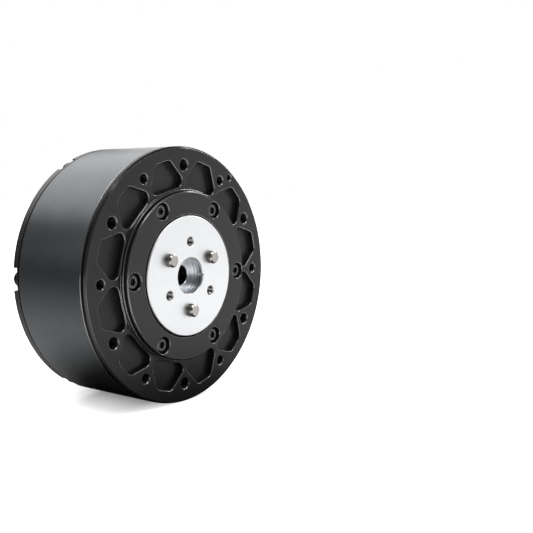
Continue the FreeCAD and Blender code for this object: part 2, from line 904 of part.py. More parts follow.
def gears():
    """Sun, planets and ring, all in mesh: each planet has a gap on the line between the sun and the ring."""
    thickness = math.pi * s.module.number / 2 - s.backlash.number
    span = (planet_front.number, planet_rear.number)
    wire = wheel_wire(round(s.sun_teeth.number), sun_pitch.number, thickness, math.pi / 2)
    bore = round_wire((s.sun_seat_radius + s.seat_clearance).number)
    keep(code_piece("sun_gear", extruded([wire, bore], *span)))

    teeth = round(s.planet_teeth.number)
    for k, angle in enumerate(tap_angles, 1):
        turn = math.radians(angle) + math.pi / teeth
        wire = wheel_wire(teeth, planet_pitch.number, thickness, turn)
        bore = round_wire((s.planet_pin_radius + s.running_clearance).number)
        wheel = extruded([wire, bore], *span)
        reach = planet_circle.number
        middle = FreeCAD.Vector(math.cos(math.radians(angle)), 0, math.sin(math.radians(angle))) * reach
        wheel.translate(middle)
        keep(code_piece(f"planet_gear_{k}", wheel))

    ring = ring_pitch.number
    teeth = round(s.ring_teeth.number)
    space = math.pi * s.module.number - thickness
    turn = math.pi / 2 + math.pi / teeth
    wire = toothed_wire(teeth, ring, ring - s.addendum.number, ring + s.dedendum.number, space, turn)
    rim = round_wire(ring_outside.number)
    keep(code_piece("ring_gear", extruded([rim, wire], shoulder_rear.number, ring_rear.number)))


def planet_carrier():
    piece = body("planet_carrier")
    lip = bearing_lip
    sun_hole = sun_pitch + s.addendum + s.side_gap
    hub = bearing_bore_radius + s.spigot_clearance
    turned(
        piece,
        "front_plate",
        [
            (sun_hole, shoulder_rear),
            (hub, shoulder_rear),
            (hub, bearing_rear),
            (lip, bearing_rear),
            (lip, shoulder_rear),
            (carrier_radius, shoulder_rear),
            (carrier_radius, shoulder_rear + s.carrier_front_thickness),
            (sun_hole, shoulder_rear + s.carrier_front_thickness),
        ],
    )
    drawing = face_sketch(piece, "column_outline", shoulder_rear)
    place = at_angle(column_circle, dowel_angles[0])
    circle(drawing, s.column_radius, place["x"], place["z"])
    column = pad(piece, "column", drawing, carrier_rear - shoulder_rear)
    around(piece, "columns", [column], s.output_count)
    turned(
        piece,
        "rear_plate",
        [
            (sun_hole, carrier_plate_front),
            (carrier_radius, carrier_plate_front),
            (carrier_radius, carrier_rear),
            (sun_hole, carrier_rear),
        ],
    )
    pin = s.planet_pin_radius + s.seat_clearance
    outline = plain_hole(pin, shoulder_rear, carrier_rear - shoulder_rear + s.edge_break)
    drilled(piece, "pin_hole", at_angle(planet_circle, tap_angles[0]), outline, s.output_count)
    shank = s.carrier_screw_radius + s.shank_clearance
    head = s.carrier_screw_head + s.shank_clearance
    seat = carrier_rear - s.carrier_screw_head_height - s.edge_break
    drilled(
        piece,
        "screw_hole",
        at_angle(column_circle, dowel_angles[0]),
        [
            (0, shoulder_rear - s.overshoot),
            (shank, shoulder_rear - s.overshoot),
            (shank, seat),
            (head, seat),
            (head, carrier_rear + s.overshoot),
            (0, carrier_rear + s.overshoot),
        ],
        s.output_count,
    )
    keep(piece)


def carrier_hardware():
    for k, angle in enumerate(tap_angles, 1):
        piece = body(f"planet_pin_{k}")
        edge = s.edge_break
        rear = carrier_rear
        outline = [
            (0, shoulder_rear),
            (s.planet_pin_radius, shoulder_rear),
            (s.planet_pin_radius, rear - edge),
            (s.planet_pin_radius - edge, rear),
            (0, rear),
        ]
        turned(piece, "pin", outline, **at_angle(planet_circle, angle))
        keep(piece)
    top = carrier_rear - s.edge_break
    length = top - s.carrier_screw_head_height - shoulder_rear + s.carrier_screw_grip
    for k, angle in enumerate(dowel_angles, 1):
        place = at_angle(column_circle, angle)
        head = (s.carrier_screw_head, s.carrier_screw_head_height)
        name = f"carrier_screw_{k}"
        keep(screw(name, *head, s.carrier_screw_radius, length, top, place, inward=-1))
    piece = body("shaft_bush")
    front = shoulder_rear - s.bush_length
    bore = s.nose_radius + s.running_clearance
    outline = [
        (bore, front),
        (s.bush_radius, front),
        (s.bush_radius, shoulder_rear),
        (bore, shoulder_rear),
    ]
    turned(piece, "bush", outline)
    keep(piece)


# ---------------------------------------------------------------- stator and gear housing
def gear_housing():
    piece = body("gear_housing")
    outside = housing_radius
    seat = bearing_radius + s.seat_clearance
    ring_seat = ring_outside + s.seat_clearance
    lip = bearing_radius - s.shoulder_inset
    flange = outside + s.stator_yoke - s.side_gap
    turned(
        piece,
        "tube",
        [
            (seat, bearing_front),
            (outside - s.edge_break, bearing_front),
            (outside, bearing_front + s.edge_break),
            (outside, s.cover_thickness),
            (flange, s.cover_thickness),
            (flange, stator_front),
            (outside, stator_front),
            (outside, housing_rear - s.edge_break),
            (outside - s.edge_break, housing_rear),
            (ring_seat, housing_rear),
            (ring_seat, shoulder_rear),
            (lip, shoulder_rear),
            (lip, bearing_rear),
            (seat, bearing_rear),
        ],
    )
    depth = s.retainer_screw_length
    outline = plain_hole(s.retainer_screw_radius + s.seat_clearance, bearing_front, depth)
    drilled(piece, "screw_hole", at_angle(retainer_screw_circle, 0), outline, s.bolt_count)
    keep(piece)


def tooth_box(piece, name, front, rear, inner, outer, width):
    """A block along +X that reaches from one radius to another."""
    drawing = face_sketch(piece, name + "_outline", front)
    half = width / 2
    polygon(drawing, [(inner, -half), (outer, -half), (outer, half), (inner, half)])
    return pad(piece, name, drawing, rear - front)


def stator():
    core = body("stator_core")
    inside = housing_radius + s.seat_clearance
    yoke = inside + s.stator_yoke
    outline = [(inside, stator_front), (yoke, stator_front), (yoke, stator_rear), (inside, stator_rear)]
    turned(core, "yoke", outline)
    neck = stator_radius - s.tooth_tip
    tooth = tooth_box(core, "tooth", stator_front, stator_rear, yoke - s.edge_break, neck, s.tooth_width)
    drawing = face_sketch(core, "tip_outline", stator_front)
    half = s.tooth_tip_width / 2
    slant = s.tooth_width / 2
    crown = stator_radius - s.air_gap / 2
    points = [(neck, slant), (neck, -slant), (neck + s.tooth_tip / 2, -half), (crown, -slant), (crown, slant)]
    polygon(drawing, points + [(neck + s.tooth_tip / 2, half)])
    tip = pad(core, "tip", drawing, s.stator_length)
    around(core, "teeth", [tooth, tip], s.slot_count)
    keep(core)

    coils = body("stator_windings")
    inner = yoke + s.seat_clearance
    outer = neck - s.seat_clearance
    end = stator_rear + s.edge_break
    ring = [(inner, end), (outer, end), (outer, coil_rear), (inner, coil_rear)]
    turned(coils, "end_ring", ring)
    wide = s.tooth_width + s.coil_width * 2
    coil = tooth_box(coils, "coil", coil_front, coil_rear, inner, outer, wide)
    around(coils, "coils", [coil], s.slot_count)
    drawing = face_sketch(coils, "tooth_gap_outline", stator_front)
    half = s.tooth_width / 2 + s.seat_clearance
    start = inner - s.overshoot
    stop = outer + s.overshoot
    polygon(drawing, [(start, -half), (stop, -half), (stop, half), (start, half)])
    gap = pocket(coils, "tooth_gap", drawing, s.stator_length)
    around(coils, "tooth_gaps", [gap], s.slot_count)
    keep(coils)


# ---------------------------------------------------------------- rotor
def rotor():
    cup = body("rotor_cup")
    bore = s.shaft_radius + s.seat_clearance
    lip = magnet_outside - s.magnet_thickness / 2
    spacer = s.shaft_radius + s.rear_race_thickness - s.edge_break
    turned(
        cup,
        "shell",
        [
            (magnet_outside, cup_front),
            (rotor_outside, cup_front),
            (rotor_outside, web_rear - s.edge_break * 2),
            (rotor_outside - s.edge_break * 2, web_rear),
            (s.hub_radius, web_rear),
            (s.hub_radius, hub_rear),
            (spacer, hub_rear),
            (spacer, rear_bearing_front),
            (bore, rear_bearing_front),
            (bore, hub_front),
            (s.hub_radius, hub_front),
            (s.hub_radius, web_front),
            (lip, web_front),
            (lip, magnet_rear),
            (magnet_outside, magnet_rear),
        ],
    )
    outline = plain_hole(s.web_hole_radius, web_front, s.web_thickness + s.edge_break)
    drilled(cup, "web_hole", at_angle(s.web_hole_circle, 0), outline, s.bolt_count)
    keep(cup)

    magnets = body("rotor_magnets")
    outside = magnet_outside - s.seat_clearance
    outline = [
        (magnet_inside, stator_front),
        (outside, stator_front),
        (outside, magnet_rear),
        (magnet_inside, magnet_rear),
    ]
    turned(magnets, "ring", outline)
    drawing = face_sketch(magnets, "gap_outline", stator_front)
    half = s.air_gap / 2
    start = magnet_inside - s.overshoot
    reach = outside - s.edge_break
    polygon(drawing, [(start, -half), (reach, -half), (reach, half), (start, half)])
    gap = pocket(magnets, "gap", drawing, magnet_rear - stator_front)
    around(magnets, "gaps", [gap], s.magnet_count)
    keep(magnets)

    shaft = body("rotor_shaft")
    nose_front = shoulder_rear - s.bush_length + s.side_gap
    sun_front = planet_front - s.side_gap
    turned(
        shaft,
        "shaft",
        [
            (0, nose_front),
            (s.nose_radius - s.edge_break, nose_front),
            (s.nose_radius, nose_front + s.edge_break),
            (s.nose_radius, sun_front),
            (s.sun_seat_radius, sun_front),
            (s.sun_seat_radius, planet_rear),
            (s.shaft_neck_radius, planet_rear),
            (s.shaft_neck_radius, collar_front),
            (s.shaft_collar_radius, collar_front),
            (s.shaft_collar_radius, hub_front),
            (s.shaft_radius, hub_front),
            (s.shaft_radius, shaft_rear - s.edge_break),
            (s.shaft_radius - s.edge_break, shaft_rear),
            (0, shaft_rear),
        ],
    )
    keep(shaft)

    magnet = body("encoder_magnet")
    rear = shaft_rear + s.encoder_magnet_thickness
    radius = s.encoder_magnet_radius
    turned(magnet, "magnet", [(0, shaft_rear), (radius, shaft_rear), (radius, rear), (0, rear)])
    keep(magnet)


# ---------------------------------------------------------------- case, rear cover and cap
def motor_case():
    piece = body("motor_case")
    step = web_rear + s.rotor_gap
    edge = s.edge_break
    turned(
        piece,
        "tube",
        [
            (case_inside, case_front),
            (s.case_radius - edge, case_front),
            (s.case_radius, case_front + edge),
            (s.case_radius, case_rear - edge),
            (s.case_radius - edge, case_rear),
            (case_ring_inside, case_rear),
            (case_ring_inside, step),
            (case_inside, step),
        ],
    )
    floor = s.rear_thickness - s.notch_depth
    depth = s.case_screw_length - floor + s.side_gap
    outline = plain_hole(s.case_screw_radius + s.seat_clearance, case_rear, depth, inward=-1)
    drilled(piece, "screw_hole", at_angle(case_screw_circle, 0), outline, s.bolt_count)
    keep(piece)


def rear_cover():
    piece = body("rear_cover")
    spigot = case_ring_inside - s.spigot_clearance
    seat = s.rear_bearing_radius + s.seat_clearance
    hub = s.rear_bearing_radius + s.rear_hub_wall
    hub_front_face = rear_bearing_front - s.side_gap
    hole = s.rear_bearing_radius - s.rear_race_thickness
    spigot_front = case_rear - s.flange_thickness
    turned(
        piece,
        "plate",
        [
            (hole, plate_rear),
            (hole, rear_seat),
            (seat, rear_seat),
            (seat, hub_front_face),
            (hub, hub_front_face),
            (hub, case_rear),
            (spigot - s.case_wall, case_rear),
            (spigot - s.case_wall, spigot_front),
            (spigot, spigot_front),
            (spigot, case_rear),
            (s.case_radius, case_rear),
            (s.case_radius, plate_rear - s.rear_chamfer),
            (s.case_radius - s.rear_chamfer, plate_rear),
        ],
    )
    drawing = face_sketch(piece, "notch_outline", plate_rear)
    beyond = s.case_radius + s.notch_radius * 2
    rounded_outline(drawing, [(case_screw_circle, zero), (beyond, zero)], s.notch_radius)
    notch = pocket(piece, "notch", drawing, s.notch_depth, forward=True)
    drawing = face_sketch(piece, "notch_edge_outline", plate_rear)
    wider = s.notch_radius + s.recess_edge
    rounded_outline(drawing, [(case_screw_circle, zero), (beyond, zero)], wider)
    edge = pocket(piece, "notch_edge_break", drawing, s.recess_edge, forward=True, taper=-45)
    around(piece, "notches", [notch, edge], s.bolt_count)
    shank = s.case_screw_radius + s.shank_clearance
    outline = plain_hole(shank, plate_rear, s.rear_thickness + s.edge_break, inward=-1)
    drilled(piece, "screw_hole", at_angle(case_screw_circle, 0), outline, s.bolt_count)
    depth = s.rear_thickness - s.edge_break
    outline = chamfered_hole(s.small_hole_radius, plate_rear, depth, s.hole_chamfer, inward=-1)
    drilled(piece, "mount_hole", at_angle(rear_bolt_circle, 30), outline, s.bolt_count)
    drawing = face_sketch(piece, "post_outline", plate_rear)
    place = at_angle(post_circle, 90 - s.cap_turn)
    circle(drawing, s.post_radius, place["x"], place["z"])
    post = pad(piece, "post", drawing, s.post_height)
    around(piece, "posts", [post], s.output_count)
    grip = s.cap_screw_radius + s.seat_clearance
    outline = plain_hole(grip, plate_rear, s.cap_screw_grip + s.side_gap, inward=-1)
    for side in (0, 180):
        for sign in (-1, 1):
            angle = side + s.cap_screw_angle * sign - s.cap_turn
            name = f"cap_screw_hole_{side}_{sign + 1}"
            drilled(piece, name, at_angle(cap_screw_circle, angle), outline)
    keep(piece)


def case_screws():
    top = plate_rear - s.notch_depth + s.case_screw_head_height
    for k in range(round(s.bolt_count.number)):
        place = at_angle(case_screw_circle, 360 / s.bolt_count * k)
        head = (s.case_screw_head, s.case_screw_head_height)
        name = f"case_screw_{k + 1}"
        keep(screw(name, *head, s.case_screw_radius, s.case_screw_length, top, place, inward=-1))


def turned_with_cap(piece):
    """Turns a piece about Y with the cap, whose own upright stands at cap_turn from Z."""
    turn = FreeCAD.Rotation(FreeCAD.Vector(0, 1, 0), s.cap_turn.number)
    piece.Placement = FreeCAD.Placement(FreeCAD.Vector(), turn)
    bind(piece, "Placement.Rotation.Angle", s.cap_turn)
    return keep(piece)


def electronics_cap():
    piece = body("electronics_cap")
    roof = cap_rear - s.cap_wall
    turned(
        piece,
        "shell",
        [
            (cap_inside, plate_rear),
            (cap_radius, plate_rear),
            (cap_radius, cap_rear - s.cap_chamfer),
            (cap_radius - s.cap_chamfer, cap_rear),
            (0, cap_rear),
            (0, roof),
            (cap_inside - s.cap_wall, roof),
            (cap_inside, roof - s.cap_wall),
        ],
    )
    head = s.cap_screw_head + s.head_clearance
    shank = s.cap_screw_radius + s.shank_clearance
    seat = cap_rear - s.cap_screw_head_height - s.recess_edge
    for side in (0, 180):
        for sign in (-1, 1):
            place = at_angle(cap_screw_circle, side + s.cap_screw_angle * sign)
            drawing = face_sketch(piece, f"boss_outline_{side}_{sign + 1}", plate_rear)
            circle(drawing, s.cap_boss_radius, place["x"], place["z"])
            pad(piece, f"boss_{side}_{sign + 1}", drawing, s.cap_height - s.cap_wall / 2)
    beyond = cap_radius + s.cap_boss_radius
    trim = [(cap_radius, plate_rear), (beyond, plate_rear), (beyond, cap_rear), (cap_radius, cap_rear)]
    turned(piece, "boss_trim", trim, remove=True)
    for side in (0, 180):
        for sign in (-1, 1):
            place = at_angle(cap_screw_circle, side + s.cap_screw_angle * sign)
            outline = [
                (0, plate_rear - s.overshoot),
                (shank, plate_rear - s.overshoot),
                (shank, seat),
                (head, seat),
                (head, cap_rear + s.overshoot),
                (0, cap_rear + s.overshoot),
            ]
            drilled(piece, f"screw_hole_{side}_{sign + 1}", place, outline)
    corner = s.window_corner
    for name, margin, depth, taper in (
        ("window", zero, s.cap_wall + s.overshoot, 0),
        ("window_bevel", s.window_bevel, s.window_bevel, -45),
    ):
        half_width = s.window_width / 2 - corner
        half_height = s.window_height / 2 - corner
        drawing = face_sketch(piece, name + "_outline", cap_rear)
        rounded_outline(
            drawing,
            [
                (-half_width, -half_height - s.window_drop),
                (half_width, -half_height - s.window_drop),
                (half_width, half_height - s.window_drop),
                (-half_width, half_height - s.window_drop),
            ],
            corner + margin,
        )
        pocket(piece, name, drawing, depth, forward=True, taper=taper)
    drawing = sketch_on(piece, "port_outline", "XY_Plane", z=s.port_depth - cap_radius)
    half = s.port_width / 2
    below = plate_rear - s.overshoot
    top = plate_rear + s.port_height
    polygon(drawing, [(-half, below), (half, below), (half, top), (-half, top)])
    pocket(piece, "port", drawing, s.port_depth + s.overshoot)
    turned_with_cap(piece)


def cap_screws():
    top = cap_rear - s.recess_edge
    length = s.cap_height - s.recess_edge - s.cap_screw_head_height + s.cap_screw_grip
    number = 0
    for side in (0, 180):
        for sign in (-1, 1):
            number += 1
            place = at_angle(cap_screw_circle, side + s.cap_screw_angle * sign)
            head = (s.cap_screw_head, s.cap_screw_head_height)
            name = f"cap_screw_{number}"
            turned_with_cap(screw(name, *head, s.cap_screw_radius, length, top, place, inward=-1))


# ---------------------------------------------------------------- electronics
def block(piece, name, x, z, width, height, front, depth):
    drawing = face_sketch(piece, name + "_outline", front)
    half_width = width / 2
    half_height = height / 2
    corners = [(x - half_width, z - half_height), (x + half_width, z - half_height)]
    corners += [(x + half_width, z + half_height), (x - half_width, z + half_height)]
    polygon(drawing, corners)
    return pad(piece, name, drawing, depth)


def electronics():
    board = body("driver_board")
    drawing = face_sketch(board, "outline", board_front)
    circle(drawing, board_radius)
    pad(board, "board", drawing, s.board_thickness)
    turned_with_cap(board)

    chip = body("encoder_chip")
    chip_front = board_front - s.chip_thickness
    block(chip, "chip", zero, zero, s.chip_width, s.chip_width, chip_front, s.chip_thickness)
    turned_with_cap(chip)

    holder = body("contact_block")
    width = s.window_width + s.block_margin * 2
    height = s.window_height + s.block_margin * 2
    block(holder, "block", zero, -s.window_drop, width, height, board_rear, s.block_height)
    turned_with_cap(holder)

    pads = body("contact_pads")
    rows = s.pad_pitch * 3
    block(pads, "carrier", zero, -s.window_drop, s.pad_pitch_across, rows, block_rear, s.pad_rise / 2)
    for column in (-1, 1):
        for line in (-3, -1, 1, 3):
            x = s.pad_pitch_across / 2 * column
            z = s.pad_pitch / 2 * line - s.window_drop
            name = f"pad_{column + 1}_{line + 3}"
            block(pads, name, x, z, s.pad_width, s.pad_height, block_rear, s.pad_rise)
    turned_with_cap(pads)

    low = board_front - s.socket_height
    socket("power_socket", zero, low, s.power_width, s.socket_height, s.power_pin_radius, 2)
    for number, side in ((1, 1), (2, -1)):
        across = s.bus_offset * side
        socket(f"bus_socket_{number}", across, low, s.bus_width, s.socket_height, s.signal_pin_radius, 2)
    socket("serial_socket", zero, board_rear, s.serial_width, s.serial_height, s.signal_pin_radius, 3)


def socket(name, x, front, width, height, pin, count):
    """An open socket that faces away from the middle of the cap, with its pins inside."""
    piece = body(name)
    half = width / 2
    rear = front + height
    drawing = sketch_on(piece, "shell_outline", "XY_Plane", z=-port_face)
    polygon(drawing, [(x - half, front), (x + half, front), (x + half, rear), (x - half, rear)])
    pad(piece, "shell", drawing, s.socket_length, rearward=False)
    drawing = sketch_on(piece, "mouth_outline", "XY_Plane", z=-port_face)
    wall = s.socket_wall
    inner = half - wall
    polygon(
        drawing,
        [
            (x - inner, front + wall),
            (x + inner, front + wall),
            (x + inner, rear - wall),
            (x - inner, rear - wall),
        ],
    )
    pocket(piece, "mouth", drawing, s.socket_depth, forward=True)
    for k in range(count):
        offset = width / count * (k - (count - 1) / 2)
        drawing = sketch_on(piece, f"pin_outline_{k + 1}", "XY_Plane", z=s.pin_setback - port_face)
        circle(drawing, pin, x + offset, front + height / 2)
        pad(piece, f"pin_{k + 1}", drawing, s.socket_depth, rearward=False)
    turned_with_cap(piece)


# ---------------------------------------------------------------- build, check and write
front_cover()
bearing_retainer()
retainer_screws()
output_flange()
dowel_pins()
bearings()
gears()
planet_carrier()
carrier_hardware()
gear_housing()
stator()
rotor()
motor_case()
rear_cover()
case_screws()
electronics_cap()
cap_screws()
electronics()
doc.recompute()

for item in doc.Objects:
    if "Invalid" in item.State or "Error" in item.State:
        raise RuntimeError(f"{item.Label} failed: {item.State}")
for name, piece in pieces.items():
    shape = piece.Shape
    if shape.isNull() or not shape.isValid() or not shape.Solids:
        raise RuntimeError(f"{name} has no valid solid")
    print(f"{name}: {len(shape.Solids)} solid, {shape.Volume:.1f} mm3")
    shape.exportStep(f"parts/{name}.step")
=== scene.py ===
"""Looks of a round robot joint actuator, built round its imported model: finishes, screws, threads and studio.

Lengths are in metres. The joint turns about Y, its output face looks towards -Y, and Z is up.
"""

import json
import math

import bpy
from mathutils import Matrix, Vector


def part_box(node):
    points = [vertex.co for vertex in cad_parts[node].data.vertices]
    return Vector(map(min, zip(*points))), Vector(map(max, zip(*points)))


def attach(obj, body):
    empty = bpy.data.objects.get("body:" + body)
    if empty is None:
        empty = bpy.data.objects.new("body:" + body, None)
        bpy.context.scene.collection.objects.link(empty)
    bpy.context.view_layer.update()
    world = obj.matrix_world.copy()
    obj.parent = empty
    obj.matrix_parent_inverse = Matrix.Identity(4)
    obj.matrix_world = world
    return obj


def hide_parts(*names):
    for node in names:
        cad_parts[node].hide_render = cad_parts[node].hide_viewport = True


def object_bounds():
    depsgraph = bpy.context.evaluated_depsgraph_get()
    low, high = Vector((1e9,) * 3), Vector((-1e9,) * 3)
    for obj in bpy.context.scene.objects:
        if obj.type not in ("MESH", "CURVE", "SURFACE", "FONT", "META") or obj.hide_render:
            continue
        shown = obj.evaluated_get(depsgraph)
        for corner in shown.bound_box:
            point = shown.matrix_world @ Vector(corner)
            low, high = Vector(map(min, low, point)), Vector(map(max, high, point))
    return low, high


MM = 0.001
TURN = 2 * math.pi
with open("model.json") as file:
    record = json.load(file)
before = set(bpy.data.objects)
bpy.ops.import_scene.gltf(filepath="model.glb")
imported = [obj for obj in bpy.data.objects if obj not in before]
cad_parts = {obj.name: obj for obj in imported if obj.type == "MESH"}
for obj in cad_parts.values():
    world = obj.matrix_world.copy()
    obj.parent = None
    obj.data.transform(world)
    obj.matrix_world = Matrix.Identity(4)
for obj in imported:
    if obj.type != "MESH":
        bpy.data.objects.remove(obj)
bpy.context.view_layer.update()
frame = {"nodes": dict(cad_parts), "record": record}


# ---------------------------------------------------------------- node maths


class Wire:
    """A node's output that takes part in plain arithmetic."""

    def __init__(self, maker, socket):
        self.maker = maker
        self.socket = socket

    def maths(self, operation, first, second=0.0):
        return self.maker.node("ShaderNodeMath", {"operation": operation}, {0: first, 1: second})

    def __add__(self, other):
        return self.maths("ADD", self, other)

    def __radd__(self, other):
        return self.maths("ADD", other, self)

    def __sub__(self, other):
        return self.maths("SUBTRACT", self, other)

    def __rsub__(self, other):
        return self.maths("SUBTRACT", other, self)

    def __mul__(self, other):
        return self.maths("MULTIPLY", self, other)

    def __rmul__(self, other):
        return self.maths("MULTIPLY", other, self)

    def __truediv__(self, other):
        return self.maths("DIVIDE", self, other)

    def __rtruediv__(self, other):
        return self.maths("DIVIDE", other, self)

    def __gt__(self, other):
        return self.maths("GREATER_THAN", self, other)

    def __lt__(self, other):
        return self.maths("LESS_THAN", self, other)

    def root(self):
        return self.maths("SQRT", self)

    def absolute(self):
        return self.maths("ABSOLUTE", self)

    def whole(self):
        return self.maths("FLOOR", self)

    def sine(self):
        return self.maths("SINE", self)

    def cosine(self):
        return self.maths("COSINE", self)

    def at_least(self, other):
        return self.maths("MAXIMUM", self, other)

    def at_most(self, other):
        return self.maths("MINIMUM", self, other)

    def clamped(self):
        return self.at_most(1.0).at_least(0.0)


class Nodes:
    """Adds nodes to a tree: settings first, then inputs, each of them a wire or a plain value.

    A node gives a wire from one of its outputs, or None if it is the end of its tree.
    """

    def __init__(self, tree):
        self.tree = tree

    def feed(self, socket, value):
        if isinstance(value, Wire):
            self.tree.links.new(value.socket, socket)
        else:
            socket.default_value = value

    def node(self, kind, settings, inputs, output=0):
        made = self.tree.nodes.new(kind)
        for key, value in settings.items():
            setattr(made, key, value)
        for key, value in inputs.items():
            self.feed(made.inputs[key], value)
        return Wire(self, made.outputs[output]) if made.outputs else None


class Paint(Nodes):
    """One procedural finish and the nodes that make it."""

    def __init__(self, name):
        self.material = bpy.data.materials.new(name)
        self.material.use_nodes = True
        super().__init__(self.material.node_tree)
        self.tree.nodes.clear()
        given = self.tree.nodes.new("ShaderNodeTexCoord")
        self.place = Wire(self, given.outputs["Object"])
        self.x, self.y, self.z = self.parts(self.place)
        self.facing_y = self.parts(Wire(self, given.outputs["Normal"]))[1]

    def parts(self, vector):
        split = self.tree.nodes.new("ShaderNodeSeparateXYZ")
        self.feed(split.inputs[0], vector)
        return [Wire(self, part) for part in split.outputs]

    def noise(self, size, detail=3.0, roughness=0.55, place=None):
        inputs = {"Vector": place or self.place, "Scale": 1 / size, "Detail": detail, "Roughness": roughness}
        return self.node("ShaderNodeTexNoise", {}, inputs, "Fac")

    def mix(self, share, first, second):
        """A colour between two: sockets 6 and 7 are the node's colours, and output 2 is their mix."""
        return self.node("ShaderNodeMix", {"data_type": "RGBA"}, {0: share, 6: first, 7: second}, 2)

    def axis_radius(self):
        return (self.x * self.x + self.z * self.z).root()

    def rings(self, along, pitch):
        """A wave from -1 to 1 that repeats at every pitch."""
        return (along * (TURN / pitch)).sine()

    def wear_and_glint_edge(self, radius):
        """1 on an edge of that radius and 0 elsewhere, with the rounded normal that makes it. The finishes use
        it for worn edges and for painted highlights on them.
        """
        rounded = self.node("ShaderNodeBevel", {"samples": 6}, {"Radius": radius})
        flat = self.node("ShaderNodeNewGeometry", {}, {}, "Normal")
        both = {0: rounded, 1: flat}
        facing = self.node("ShaderNodeVectorMath", {"operation": "DOT_PRODUCT"}, both, "Value")
        sharpness = 14
        return ((1 - facing) * sharpness).clamped(), rounded

    def chamfer(self):
        """1 on facets that slope at 45 degrees to the axis, and 0 a few degrees away from that slope; the
        finishes give these chamfers a painted highlight.
        """
        off_slope = (self.facing_y.absolute() - math.sqrt(0.5)).absolute()
        reach, sharpness = 0.16, 20
        return ((reach - off_slope) * sharpness).clamped()

    def finish(self, colour, metallic, roughness, height=None, depth=0.0, normal=None, others=None):
        """Joins the shader to its output. height makes a bump of that depth; others holds further inputs."""
        if height is not None:
            bump = {"Height": height, "Distance": depth, "Strength": 1.0}
            if normal is not None:
                bump["Normal"] = normal
            normal = self.node("ShaderNodeBump", {}, bump)
        inputs = {"Base Color": colour, "Metallic": metallic, "Roughness": roughness, **(others or {})}
        if normal is not None:
            inputs["Normal"] = normal
        shader = self.node("ShaderNodeBsdfPrincipled", {}, inputs)
        self.node("ShaderNodeOutputMaterial", {}, {"Surface": shader})
        return self.material


def grey(level, warmth=0.0):
    return (level * (1 + warmth), level, level * (1 - warmth), 1.0)


def darker(colour, share):
    return tuple(part * share for part in colour[:3]) + (1.0,)


# ---------------------------------------------------------------- finishes


BLAST_DEPTH = 0.006 * MM
# The share of the painted edge highlight that a chamfer gets.
CHAMFER_GLINT = 0.3


def blasted(paint, roughness, shine):
    """The grain that blasting leaves, and a roughness that drifts a little and drops where edges shine."""
    grain = paint.noise(0.16 * MM, 2.0, 0.6)
    return grain, roughness + (paint.noise(2.2 * MM) - 0.5) * 0.10 - shine


def anodised(name, level, roughness, metallic, edge, bare_and_glint, warmth=-0.01, sheen=0.5, wear_and_glint_to=None, joint_and_shade=None):
    """Blasted and dyed aluminium: even fine grain, faint cloudiness, and edges that have lost a little dye,
    with a painted highlight on its edges and chamfers.

    level is the grey of the dye, bare that of the worn metal and of the painted highlight, and edge the radius
    of a worn edge. Sharp edges past wear_and_glint_to along the axis keep their dye and get no painted
    highlight. dull gives the share by which a place is painted nearly black with almost no reflection: the
    case's dark joint, and painted shade on the flange's rim.
    """
    paint = Paint(name)
    # Worn edges get a painted highlight as well: a brighter grey, more metal and less roughness.
    wear_and_glint, rounded = paint.wear_and_glint_edge(edge)
    if wear_and_glint_to is not None:
        wear_and_glint = wear_and_glint * (paint.y < wear_and_glint_to)
    # Painted highlight on 45-degree chamfers, joined to the worn edges.
    chamfer = paint.chamfer()
    wear_and_glint = wear_and_glint.at_least(chamfer * CHAMFER_GLINT)
    cloud = paint.noise(7 * MM, 2.0)
    speck = paint.noise(0.32 * MM, 1.0)
    tone = (cloud * 0.45 + speck * 0.55 - 0.12) * 1.3
    colour = paint.mix(tone.clamped(), grey(level * 0.76, warmth), grey(level * 1.24, warmth))
    pure_metal = wear_and_glint
    # dull paints a place nearly black with almost no reflection: the case's dark joint, and painted shade on
    # the flange's rim.
    if joint_and_shade:
        joint_and_shade_share = joint_and_shade(paint)
        wear_and_glint = wear_and_glint * (1 - joint_and_shade_share)
        pure_metal = wear_and_glint.at_least(joint_and_shade_share)
    colour = paint.mix(wear_and_glint * 0.8, colour, grey(bare_and_glint))
    if joint_and_shade:
        colour = paint.mix(joint_and_shade_share, colour, grey(0.006))
    metal = pure_metal * (1 - metallic) + metallic
    grain, rough = blasted(paint, roughness, wear_and_glint.at_least(chamfer) * 0.22)
    return paint.finish(colour, metal, rough, grain, BLAST_DEPTH, rounded, {"Specular IOR Level": sheen})


def case_joint(paint):
    """The dark line where the case meets the rear cover."""
    case_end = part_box("motor_case")[1].y
    half_width = 0.28 * MM
    return (paint.y - case_end).absolute() < half_width


def flange_rim_shade(paint):
    """Painted shade on the flange's outer chamfer: full at its rim and half at its inner line."""
    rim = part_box("front_cover")[1].x
    radius = paint.axis_radius()
    outer = (radius > rim - 0.05 * MM) * 0.6
    inner = (radius > rim - 0.62 * MM) * 0.4
    chamfer_end = 1.6 * MM
    return (outer + inner) * (paint.y < chamfer_end)


def lobed_steel(name, screw, facing):
    """Black oxide screw steel, worn bright at the rim with a painted highlight there, and painted shade down
    in the lobed recess.
    """
    paint = Paint(name)
    low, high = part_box(screw)
    face = low.y if facing > 0 else high.y
    recess_start = 0.22 * MM
    wear_and_glint, rounded = paint.wear_and_glint_edge(0.14 * MM)
    # Painted shade: the lobed recess, past recess_start under the head's face, is painted nearly black.
    recess_shade = (paint.y * facing) > (face * facing + recess_start)
    patch = paint.noise(1.5 * MM, 2.0)
    colour = paint.mix(patch, grey(0.05), grey(0.08))
    # The rim's worn edge and painted highlight: a light grey.
    colour = paint.mix(wear_and_glint * 0.7, colour, grey(0.6))
    colour = paint.mix(recess_shade * 0.9, colour, grey(0.004))
    return paint.finish(colour, 0.85, 0.22 - wear_and_glint * 0.06, normal=rounded)


